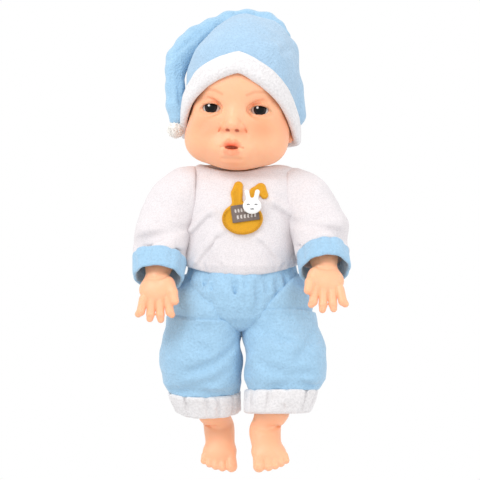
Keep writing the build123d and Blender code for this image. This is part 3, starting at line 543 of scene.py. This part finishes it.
def make_cap():
    clay = Clay((-48, -56, 14), (50, 62, 122), 0.8)
    at = clay.everywhere()
    clay.field = cap_form(at)
    clay.add(chain([(-2, 6, 98), (12, 14, 98), (27, 18, 92)], [17, 14, 9], 4), 12)
    clay.add(limb((34, 6, 62), (40, 2, 44), 8, 5.5), 8)
    for low, high, size in (((30, -26, 84), (40, 16, 100), 1.0),
                            ((-38, -20, 92), (-14, 20, 110), 1.0)):
        clay.cut(limb(low, high, size, size * 0.6), 6)
    clay.ruffle((26, 26, 14), 1.5, 3).ruffle((9, 9, 9), 0.35, 4)
    clay.shell(WALL)
    clay.field = blend_max(clay.field, 8.5 - above_opening(at), 1.0)
    crown = piece("cap_crown_cloth", on_head(clay.mesh()), "blue_crown", "head", ["cap_crown"])

    clay = Clay((-50, -58, 10), (52, 62, 92), 0.8)
    at = clay.everywhere()
    puff = 0.7 * lumps(at, (18, 18, 18), 8) + 0.25 * lumps(at, (6, 6, 6), 9)
    clay.field = blend_max(np.abs(cap_form(at) - 0.8 - puff) - 2.6, np.abs(above_opening(at) - 5.3) - 6.3, 3.5)
    brim = piece("cap_brim_cloth", on_head(clay.mesh()), "white_band", "head", ["cap_brim"])

    # the tail folds behind the crown from its right corner and hangs on the doll's right
    clay = Clay((-62, -16, 96), (44, 44, 200), 0.75)
    tail = [(30, 24, 174), (26, 26, 178), (18, 28, 184), (4.3, 28, 187), (-9.6, 27, 185), (-21.2, 25, 180), (-31.7, 22, 173),
            (-39.9, 18, 165), (-45, 14, 156), (-47.9, 10, 147), (-48.2, 7, 134), (-47.7, 4, 121), (-47, 2, 111)]
    clay.add(chain(tail, [7, 7.5, 8, 8.2, 8.4, 8.6, 8.6, 8.5, 8.2, 7.8, 7.2, 6.6, 5.0], 3))
    for a, b in (((20, 20, 190), (-16, 18, 190)), ((-24, 14, 182), (-46, 6, 160)), ((-51, 0, 150), (-50, -3, 124)),
                 ((-45, 1, 150), (-44, -2, 122))):
        clay.cut(limb(a, b, 0.9, 0.5), 4)
    clay.ruffle((11, 11, 16), 1.1, 12).ruffle((6, 6, 6), 0.35, 13)
    clay.shell(WALL)
    drape = piece("cap_tail_cloth", clay.mesh(), "blue_terry", "head", ["cap_tail"])

    rng = np.random.default_rng(5)
    centre, strands = np.array((-47.0, 0.0, 103.0)), []
    for _ in range(700):
        way = rng.normal(size=3)
        way /= np.linalg.norm(way)
        bend = way + rng.normal(size=3) * 0.25
        tip = rng.uniform(5.7, 6.5)
        strands.append(thread([centre + way * 2.0, centre + way * 4.3, centre + bend / np.linalg.norm(bend) * tip], 0.42))
    made = join(strands)
    core = Clay(centre - 8, centre + 8, 0.6).add(egg(centre, (5.1, 5.1, 5.1))).ruffle((2, 2, 2), 0.6, 2).mesh()
    piece("pompom", join([core, made]), "pompom_yarn", "head", ["cap_pompom"])


# -------------------------------------------------------------------------------- limbs
def make_arms():
    clay = Clay((18, -60, -34), (76, 16, 64), 0.55)
    clay.add(chain([(34, 0, 48), (45, -3, 44), (53.5, -13, 28), (57, -27, 10), (58, -34, 1)], [13, 11.5, 11, 9.6, 8], 3))
    clay.add(egg((58, -40.0, -7.5), (12.0, 7.2, 10.5), aim((0, -0.5, -0.86))), 4)
    clay.add(egg((51.5, -40, -5), (5.5, 6.0, 7.5)), 3)
    clay.cut(chain([(46, -35, 3), (52, -42.5, 1), (58, -44.5, 0.5), (64, -42.5, 1), (70, -35, 3)], [0.5] * 5), 2)
    for x, spread, drop in ((49.8, -2.6, -24.0), (55.5, -0.8, -27.4), (61.2, 1.0, -26.8), (66.7, 3.4, -23.6)):
        knuckle, middle, tip = (x, -44.5, -13.5), (x + spread * 0.5, -47.5, drop * 0.55 - 9), (x + spread, -47.3, drop)
        clay.add(chain([knuckle, middle, tip], [3.1, 2.9, 2.4], 0.6), 0.7)
        clay.cut(limb((x - 1.5 + spread * 0.5, -51.2, middle[2] + 1), (x + 1.5 + spread * 0.5, -51.2, middle[2] + 1), 0.3, 0.3), 1.2)
        clay.cut(egg((x + spread, -50.4, drop + 0.6), (1.7, 0.6, 2.0)), 0.5)
    clay.add(chain([(50, -40, -4), (46.8, -45, -9), (45.0, -48.5, -14.5)], [4.6, 3.7, 2.9], 1), 2)
    clay.keep(half_space((34, 0, 48), (-1, 0, 0)), 1)
    clay.keep(lambda at: -limb((20, 0, 48), (40, 0, 48), 10.8, 10.8)[0](at), 0.5)
    made = clay.mesh()
    for side in ("left", "right"):
        piece(f"{side}_arm_vinyl", hinged(made, SHOULDER, side), "vinyl_skin", f"{side}_arm", [f"{side}_arm"])


def make_legs():
    run = np.array((0, -math.cos(FOOT_PITCH), -math.sin(FOOT_PITCH)))
    sole = np.array((0, math.sin(FOOT_PITCH), -math.cos(FOOT_PITCH)))
    ankle = np.array((15.5, -5, -113.0))
    clay = Clay((-4, -44, -148), (52, 20, -4), 0.62)
    clay.add(chain([(22, -1, -20), (26.5, -8, -34), (29, -15, -54), (26, -13, -76), (20.5, -8, -97), (16, -5, -109)],
                   [15.5, 14.5, 14, 12.8, 11.2, 9.2], 5))
    clay.add(egg(ankle + sole * 1.0 - run * 3, (9.6, 9.6, 9.6)), 5)
    clay.add(egg(ankle + run * 7 + sole * 0.5, (10.6, 8.0, 15), aim(run)), 5)
    clay.add(egg(ankle + run * 18 + sole * 0.8 + (0.8, 0, 0), (12.2, 5.8, 8.5), aim(run)), 4)
    clay.cut(chain([ankle + (-11, -2, 6), ankle + (-6, -9.5, 4), ankle + (0, -11.5, 3), ankle + (6, -9.5, 4),
                    ankle + (11, -2, 6)], [0.7] * 5), 3)
    clay.keep(half_space(ankle + run * 9 + sole * 7.2, sole), 2.5)
    for across, size, reach in ((-6.9, 4.1, 29.5), (-0.6, 3.0, 30.0), (4.0, 2.8, 28.8), (8.2, 2.6, 27.0), (11.9, 2.4, 24.5)):
        base = ankle + (across, 0, 0) + run * 21 + sole * 1.0
        tip = ankle + (across * 1.03, 0, 0) + run * reach + sole * 2.4
        clay.add(limb(base, tip, size * 0.9, size), 1.3)
        clay.cut(egg(tip - sole * (size + 0.3) + run * 0.8, (size * 0.55, 0.5, size * 0.6), aim(run)), 0.5)
    clay.keep(half_space((22, -1, -20), (-0.70711, 0, 0.70711)), 1)
    clay.keep(lambda at: -limb((14, -1, -12), (29, -1, -27), 13.6, 13.6)[0](at), 0.5)
    made = clay.mesh()
    for side in ("left", "right"):
        piece(f"{side}_leg_vinyl", hinged(made, HIP, side), "vinyl_skin", f"{side}_leg", [f"{side}_leg"])


# ------------------------------------------------------------------------------ clothes
BODICE = Column([(-2, 0, -1, 38.5, 32), (1, 0, -1, 40, 34), (6, 0, -1.5, 42, 35.2), (14, 0, -1.5, 42, 35), (30, 0, -1.5, 41, 33.2),
                 (46, 0, -1, 41.3, 31), (58, 0, 0, 41.5, 28.5), (66, 0, 1, 41.5, 25), (70, 0, 2, 40.5, 22.5), (74, 0, 2, 38.0, 20),
                 (78, 0, 2, 33, 17)], 2.3)
SEAT = Column([(-42, 0, -2, 12, 18), (-37, 0, -2, 24, 26), (-30, 0, -2, 33, 32), (-22, 0, -2, 39, 35), (-12, 0, -2, 42, 36.4),
               (-4, 0, -1.5, 41.5, 35.6), (0, 0, -1, 40, 34), (4, 0, -1, 39, 33), (12, 0, -1, 38.5, 32)], 2.2)


def make_bodice():
    clay = Clay((-50, -42, -4), (50, 40, 84), 0.8)
    clay.add(BODICE.shape())
    for s, folds in ((-1, (((14, 30), (30, 8)), ((20, 44), (34, 30)))), (1, (((12, 26), (28, 6)), ((22, 50), (36, 40))))):
        for (x0, z0), (x1, z1) in folds:
            ends = [(s * x, float(BODICE.front(np.float32(s * x), np.float32(z))) - 0.6, z) for x, z in ((x0, z0), (x1, z1))]
            clay.add(limb(ends[0], ends[1], 0.5, 1.6), 6)
            lower = [(x + s * 2.5, y - 0.2, z - 5) for x, y, z in ends]
            clay.cut(limb(lower[0], lower[1], 0.3, 0.9), 5)
    for i in range(26):
        a = 2 * math.pi * i / 26 + 0.11 * math.sin(i * 7)
        x, y = 42.4 * math.cos(a), 35.4 * math.sin(a) - 1.5
        clay.cut(limb((x, y, -1), (x * 1.01, y * 1.01, 4 + 3 * math.sin(i * 5.3)), 0.9, 0.2), 2.5)
    clay.ruffle((20, 20, 24), 1.3, 21).ruffle((7, 7, 10), 0.4, 22)
    clay.cut(egg((-2.5, -6, 103), (39.5, 35, 32.5)), 2)
    clay.shell(WALL)
    clay.cut(limb((0, 2, 60), (0, 2, 80), 13.5, 13.5), 1)
    clay.keep(lambda at: 7.5 * (at[..., 0] / 42) ** 2 - at[..., 2] - 1.0, 0.8)
    clay.keep(lambda at: -limb((36, 0, 48), (50, 0, 48), 17.0, 17.0)[0](at), 0.8)
    clay.keep(lambda at: -limb((-36, 0, 48), (-50, 0, 48), 17.0, 17.0)[0](at), 0.8)
    bodice = piece("bodice_cloth", clay.mesh(), "white_velour", "torso", ["romper_bodice"])

    clay = Clay((-22, -20, 62), (22, 24, 78), 0.6)
    ring = [(15.5 * math.cos(a), 2 + 15.5 * math.sin(a), 70.0) for a in np.linspace(0, 2 * math.pi, 25)]
    clay.add(chain(ring, [2.1] * 25, 1)).ruffle((4, 4, 4), 0.3, 5)
    clay.cut(egg((-2.5, -6, 103), (36.9, 32.6, 31.2)), 1)
    band = piece("neckband_cloth", clay.mesh(), "white_velour", "torso", ["neckband"])


def make_seat():
    clay = Clay((-50, -44, -46), (50, 42, 14), 0.8)
    clay.add(SEAT.shape())
    for i in range(30):
        a = 2 * math.pi * i / 30 + 0.09 * math.sin(i * 9)
        x, y = 42.4 * math.cos(a), 35.8 * math.sin(a) - 1.5
        clay.cut(limb((x * 0.97, y * 0.97, 2), (x, y, -8 - 4 * math.sin(i * 4.1)), 1.2, 0.2), 3)
    for x, z0, z1 in ((-4, -6, -34), (12, -4, -24), (-20, -3, -20), (26, -5, -16)):
        ends = [(x, float(SEAT.front(np.float32(x), np.float32(z))) - 0.3, z) for z in (z0, z1)]
        clay.cut(limb(ends[0], ends[1], 0.7, 0.2), 4)
    clay.ruffle((16, 16, 22), 1.2, 31).ruffle((7, 7, 7), 0.35, 32)
    for s in (-1, 1):
        clay.keep(half_space((s * 26.0, -1, -24.0), (s * 0.70711, 0, -0.70711)), 4)
    clay.shell(WALL)
    clay.keep(lambda at: at[..., 2] - 1.5 - 7.5 * (at[..., 0] / 42) ** 2, 0.8)
    seat = piece("seat_cloth", clay.mesh(), "blue_terry", "torso", ["romper_seat"])


def make_sleeves():
    path = [(35, 0, 55), (42, -1, 52), (48.5, -4, 44), (53, -9, 34), (55.5, -15, 25), (57, -24, 11.5)]
    end = np.array((57.6, -32.5, 0.5))
    way = np.array((0.08, -0.61, -0.79))
    for side, seed in (("left", 40), ("right", 50)):
        rng = np.random.default_rng(seed)
        clay = Clay((22, -60, -12), (86, 30, 78), 0.75)
        clay.add(chain(path, [21.5, 21, 20, 19.4, 19, 18.6], 6))
        clay.add(egg((40, 0, 46), (12, 22, 21.5)), 4)
        for (z, tilt) in ((40, 0.5), (29, -0.3), (20, 0.35)):
            turn = rng.uniform(-0.4, 0.4)
            crease = [(56 + 24 * math.cos(a + turn), -13 + 22 * math.sin(a + turn), z + tilt * 14 * math.cos(a) - (a + 2.2) * 1.5)
                      for a in np.linspace(-2.8, -0.6, 7)]
            clay.cut(chain(crease, [0.6, 1.4, 2.0, 2.2, 2.0, 1.4, 0.6], 1), 5)
        clay.ruffle((14, 14, 12), 1.6, seed).ruffle((7, 7, 7), 0.45, seed + 1)
        clay.keep(half_space((32.0, 0, 48), (-1, 0, 0)), 2)
        clay.shell(WALL)
        clay.keep(half_space(np.array((57, -24, 11.5)) + way * 1.0, way), 1.5)
        sleeve = piece(f"{side}_sleeve_cloth", hinged(clay.mesh(), SHOULDER, side), "white_velour", f"{side}_arm",
                       [f"{side}_sleeve"])
        clay = Clay((30, -62, -22), (86, 8, 36), 0.75)
        clay.add(limb((57, -23.5, 12), end, 18.9, 18.2))
        for k in range(9):
            a = k * 0.7 + rng.uniform(0, 0.3)
            out = aim(way) @ np.array((math.cos(a), math.sin(a), 0))
            clay.cut(limb(np.array((57, -23.5, 12)) + out * 20, end + out * 19.6, 0.9, 0.4), 4)
        clay.ruffle((9, 9, 9), 0.9, seed + 2)
        clay.shell(2.6)
        clay.keep(half_space(end + way * 1.5, way), 2.5)
        clay.keep(half_space(np.array((57, -23.5, 12)) - way * 0.5, -way), 2.0)
        cuff = piece(f"{side}_cuff_cloth", hinged(clay.mesh(), SHOULDER, side), "blue_terry", f"{side}_arm",
                     [f"{side}_cuff"])


LEG_TUBE = Column([(-88, 27.2, -11.5, 23, 20), (-83, 27.3, -12, 25, 22), (-76, 28.5, -13, 28, 24.5), (-66, 29.2, -14, 28.6, 25),
                   (-54, 29.5, -14, 28.2, 25.2), (-42, 27.8, -10, 27.2, 25.5), (-32, 26, -6, 26, 25)], 2.2)
ANKLE_TUBE = Column([(-103, 23.5, -8.5, 20.5, 18), (-98, 24.2, -9, 23.6, 20.8), (-91, 25.5, -10, 25.6, 22.8),
                     (-84, 26.8, -11, 26.4, 23.8), (-79, 27.5, -11.5, 26.4, 23.8)], 2.1)


def make_trousers():
    for side, seed in (("left", 60), ("right", 70)):
        clay = Clay((-6, -46, -92), (64, 38, 12), 0.8)
        clay.add(LEG_TUBE.shape())
        clay.add(egg((23.5, -1.5, -22), (27.2, 33.5, 27)), 12)
        folds = [((2, -30, -44), (22, -38, -58), (44, -38, -66), 2.4), ((6, -36, -62), (24, -40, -72), (44, -38, -76), 1.8),
                 ((48, -34, -36), (36, -40, -46), (24, -39, -50), 2.0), ((50, -26, -80), (34, -37, -78), (16, -34, -82), 1.4),
                 ((52, 6, -50), (38, 12, -58), (20, 11, -62), 1.8)]
        if side == "left":
            folds = [((6, -30, -40), (20, -37, -48), (34, -40, -52), 1.6), ((8, -34, -66), (26, -40, -74), (46, -36, -72), 1.6),
                     ((50, -32, -42), (40, -38, -56), (32, -40, -64), 1.6), ((50, -26, -80), (34, -37, -80), (16, -34, -82), 1.3),
                     ((52, 6, -48), (38, 12, -56), (20, 11, -60), 1.6)]
        for a, b, c, size in folds:
            clay.cut(chain([a, b, c], [size * 0.4, size, size * 0.4], 2), 6)
        clay.ruffle((15, 15, 12), 1.5, seed).ruffle((7, 7, 7), 0.4, seed + 1)
        clay.keep(half_space((22 - 1.8, -1, -20 + 1.8), (-0.70711, 0, 0.70711)), 3)
        clay.shell(WALL)
        clay.keep(lambda at: -83.5 - at[..., 2], 1.5)
        made = hinged(clay.mesh(), HIP, side)
        leg = piece(f"{side}_trouser_cloth", made, "blue_terry", f"{side}_leg", [f"{side}_trouser_leg"])
        clay = Clay((-4, -40, -106), (60, 20, -76), 0.75)
        clay.add(ANKLE_TUBE.shape())
        rng = np.random.default_rng(seed + 5)
        for k in range(12):
            a = k * 0.524 + rng.uniform(0, 0.25)
            out = np.array((math.cos(a) * 25.5, math.sin(a) * 22.5, 0))
            clay.cut(limb(np.array((26.9, -11, -82)) + out, np.array((24.4, -9, -99)) + out * 0.9, 0.5, 0.2), 3.5)
        clay.ruffle((9, 9, 9), 0.8, seed + 6)
        clay.shell(2.6)
        clay.keep(lambda at: -100 - at[..., 2], 3.0)
        clay.keep(lambda at: at[..., 2] + 82.3, 2.5)
        made = hinged(clay.mesh(), HIP, side)
        cuff = piece(f"{side}_ankle_cloth", made, "white_band", f"{side}_leg", [f"{side}_ankle_cuff"])


# ------------------------------------------------------------------------- patch, trims
def rabbit_outline(x, z):
    """Distance in the chest's plane from the patch's rabbit-head outline."""
    flat = np.stack((x, np.zeros_like(x), z), -1)
    head = egg((1.0, 0, 38.6), (14.2, 9, 11.2))[0](flat)
    ear = chain([(-2.6, 0, 48), (-3.0, 0, 56), (-1.8, 0, 61.5)], [3.6, 4.0, 3.2], 1)[0](flat)
    bent = chain([(7, 0, 47), (9.5, 0, 57), (13.8, 0, 60), (16.2, 0, 55)], [3.4, 3.4, 3.4, 2.8], 1)[0](flat)
    return blend_min(blend_min(head, ear, 2), bent, 2)


def make_patch():
    clay = Clay((-18, -42, 22), (24, -20, 68), 0.45)
    at = clay.everywhere()
    x, y, z = at[..., 0], at[..., 1], at[..., 2]
    outline = rabbit_outline(x, z)
    cloth = BODICE.front(x, z) - 0.4
    rise = 1.0 + 0.8 * np.exp(-((outline + 1.4) / 1.0) ** 2)
    clay.field = blend_max(outline, np.maximum(cloth - rise - y, y - cloth - 1.2), 0.8).astype(np.float32)
    patch = piece("patch_cloth", clay.mesh(), "yellow_felt", "torso", ["chest_patch"])

    stitches = []
    for a in np.linspace(0, 2 * math.pi, 56, endpoint=False):
        x0, z0 = 1.0 + 12.0 * math.cos(a), 38.6 + 9.2 * math.sin(a)
        x1, z1 = 1.0 + 14.0 * math.cos(a), 38.6 + 11.0 * math.sin(a)
        if math.sin(a) < 0.55:
            y0, y1 = (float(BODICE.front(np.float32(u), np.float32(v))) - 2.15 for u, v in ((x0, z0), (x1, z1)))
            stitches.append(thread([(x0, y0, z0), ((x0 + x1) / 2, min(y0, y1) - 0.35, (z0 + z1) / 2), (x1, y1, z1)], 0.42))
    piece("patch_stitches", join(stitches), "yellow_felt", "torso")

    turn = Matrix.Rotation(math.radians(-8), 3, "Y")
    clay = Clay((-14, -44, 32), (20, -24, 54), 0.3)
    at = clay.everywhere()
    local = (at - np.array((2.8, 0, 42.6), np.float32)) @ np.array(turn, np.float32)
    cloth = BODICE.front(at[..., 0], at[..., 2]) - 2.2
    flat = np.maximum(np.abs(local[..., 0]) - 9.4, np.abs(local[..., 2]) - 6.0)
    clay.field = blend_max(flat, np.abs(at[..., 1] - cloth) - 0.5, 0.5).astype(np.float32)
    points, quads = clay.mesh()
    spot = (points - (2.8, 0, 42.6)) @ np.array(turn)
    bars = np.zeros(len(points))
    for row, size, gap in ((2.0, 1.2, 2.1), (-2.4, 1.3, 2.4)):
        inside = (np.abs(spot[:, 2] - row) < size) & (np.abs(spot[:, 0]) < 7.2)
        bars = np.maximum(bars, inside * (np.mod(spot[:, 0] + 30, gap) < gap * 0.5) * 0.85)
    tag = piece("tag_cloth", (points, quads), "grey_tape", "torso", ["woven_tag"], {"stitch": bars})

    middle = np.array((7.6, -38.2, 47.2))
    clay = Clay(middle - (9, 5, 9), middle + (9, 5, 15), 0.3)
    clay.add(egg(middle, (6.4, 1.9, 5.6)))
    for way in (-1, 1):
        clay.add(limb(middle + (way * 2.4, 0.3, 4), middle + (way * 3.6, 0.3, 9.6), 1.6, 1.7), 1.2)
    piece("rabbit_button_face", clay.mesh(), "button_white", "torso", ["rabbit_button"])
    details = []
    for way in (-1, 1):
        arc = [middle + (way * 2.6 + 1.0 * math.cos(a), -1.75, 0.4 + 0.7 * math.sin(a)) for a in np.linspace(0.2, 2.9, 7)]
        details.append(thread(arc, 0.28))
        mouth = [middle + (way * (0.6 - 0.6 * math.cos(a)), -1.95, -1.6 - 0.7 * math.sin(a)) for a in np.linspace(0, 2.8, 6)]
        details.append(thread(mouth, 0.22))
    piece("rabbit_button_paint", join(details), "dark_thread", "torso")


def make_back_fastener():
    clay = Clay((-8, 22, 8), (8, 44, 68), 0.6)
    at = clay.everywhere()
    x, y, z = at[..., 0], at[..., 1], at[..., 2]
    cx, cy, rx, ry = BODICE.sections(z)
    back = cy + ry * np.maximum(1 - np.abs((x - cx) / rx) ** 2.3, 0.02) ** (1 / 2.3) + 0.4
    flat = np.maximum(np.abs(x) - 5.0, np.abs(z - 38) - 26)
    clay.field = blend_max(flat, np.abs(y - back) - 0.9, 0.6).astype(np.float32)
    strap = piece("placket_cloth", clay.mesh(), "white_velour", "torso", ["back_fastener"])
    snaps = []
    for z in (20, 38, 56):
        _, cy, _, ry = BODICE.sections(np.float32(z))
        centre = np.array((0, float(cy + ry) + 1.6, z))
        snaps.append(Clay(centre - 4, centre + 4, 0.35).add(egg(centre, (2.6, 0.9, 2.6))).mesh())
    piece("snap_caps", join(snaps), "button_white", "torso")


make_head()
make_eyes()
make_cap()
make_arms()
make_legs()
make_bodice()
make_seat()
make_sleeves()
make_trousers()
make_patch()
make_back_fastener()


# ----------------------------------------------------------------------- light and view
scene = bpy.context.scene
scene.view_settings.view_transform = "Standard"
world = bpy.data.worlds.new("white")
scene.world = world
world.use_nodes = True
world.node_tree.nodes["Background"].inputs["Color"].default_value = (1, 1, 1, 1)
world.node_tree.nodes["Background"].inputs["Strength"].default_value = 1.0

for name, place, size, power in (("key", (-0.5, -0.7, 0.75), 0.5, 5.0), ("fill", (0.8, -0.6, 0.2), 0.6, 1.5)):
    lamp = bpy.data.lights.new(name, "AREA")
    lamp.size = size
    lamp.energy = power
    holder = bpy.data.objects.new(name, lamp)
    holder.location = place
    holder.rotation_euler = (Vector((0, 0, 0.02)) - Vector(place)).to_track_quat("-Z", "Y").to_euler()
    scene.collection.objects.link(holder)

camera = bpy.data.cameras.new("camera")
camera.lens = 85
camera.sensor_width = 36
eye = bpy.data.objects.new("camera", camera)
eye.location = (-0.0007, -0.815, 0.0238)
eye.rotation_euler = (math.radians(90), 0, 0)
scene.collection.objects.link(eye)
scene.camera = eye

bpy.context.view_layer.update()
